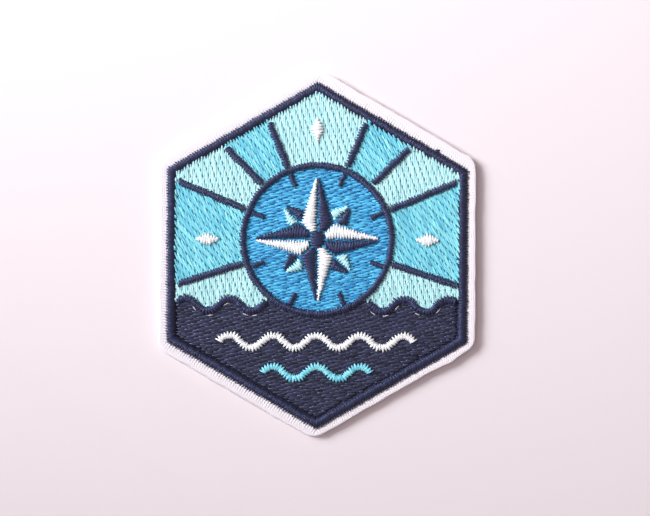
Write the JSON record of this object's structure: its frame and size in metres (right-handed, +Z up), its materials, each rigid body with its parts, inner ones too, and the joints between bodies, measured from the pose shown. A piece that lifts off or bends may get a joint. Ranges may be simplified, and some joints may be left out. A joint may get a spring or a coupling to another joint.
{
  "type": "iron-on patch",
  "caption": "Flat hexagonal embroidered iron-on patch: white twill, navy satin border, compass star on a blue dial, rays of aqua thread and a navy sea with wave lines.",
  "frame": {"origin": "middle of the outline's box, on the underside that rests on the surface", "axes": "+Z up out of the embroidered face, +Y towards the top corner of the design, +X to its right"},
  "size_m": [0.0552, 0.0632, 0.0023],
  "materials": {
    "twill": "white polyester twill, matt, fine diagonal ribs",
    "seal_film": "milky heat-seal film, slightly glossy",
    "thread_navy": "navy polyester embroidery thread, silky sheen",
    "thread_pale": "pale aqua polyester embroidery thread, silky sheen",
    "thread_cyan": "cyan polyester embroidery thread, silky sheen",
    "thread_blue": "mid-blue polyester embroidery thread, silky sheen",
    "thread_white": "white polyester embroidery thread, silky sheen"
  },
  "bodies": {
    "root": {"heat_seal_film": "seal_film", "base_cloth": "twill", "border_satin": "thread_navy", "field_1": "thread_pale", "field_2": "thread_cyan", "field_3": "thread_pale", "field_4": "thread_cyan", "field_5": "thread_pale", "field_6": "thread_cyan", "field_7": "thread_pale", "field_8": "thread_cyan", "field_9": "thread_pale", "ray_1": "thread_navy", "ray_2": "thread_navy", "ray_3": "thread_navy", "ray_4": "thread_navy", "ray_5": "thread_navy", "ray_6": "thread_navy", "ray_7": "thread_navy", "ray_8": "thread_navy", "lozenge_right": "thread_white", "lozenge_top": "thread_white", "lozenge_left": "thread_white", "sea_fill": "thread_navy", "sea_line_left": "thread_navy", "sea_line_right": "thread_navy", "wave_white": "thread_white", "wave_cyan": "thread_cyan", "dial_fill": "thread_blue", "dial_ring": "thread_navy", "hub": "thread_navy", "long_point_light_1": "thread_white", "long_point_light_2": "thread_white", "long_point_light_3": "thread_white", "long_point_light_4": "thread_white", "long_point_dark_1": "thread_navy", "long_point_dark_2": "thread_navy", "long_point_dark_3": "thread_navy", "long_point_dark_4": "thread_navy", "short_point_light_1": "thread_pale", "short_point_light_2": "thread_pale", "short_point_light_3": "thread_pale", "short_point_light_4": "thread_pale", "short_point_dark_1": "thread_navy", "short_point_dark_2": "thread_navy", "short_point_dark_3": "thread_navy", "short_point_dark_4": "thread_navy", "tick_1": "thread_navy", "tick_2": "thread_navy", "tick_3": "thread_navy", "tick_4": "thread_navy", "tick_5": "thread_navy", "tick_6": "thread_navy", "tick_7": "thread_navy", "tick_8": "thread_navy"}
  },
  "joints": []
}
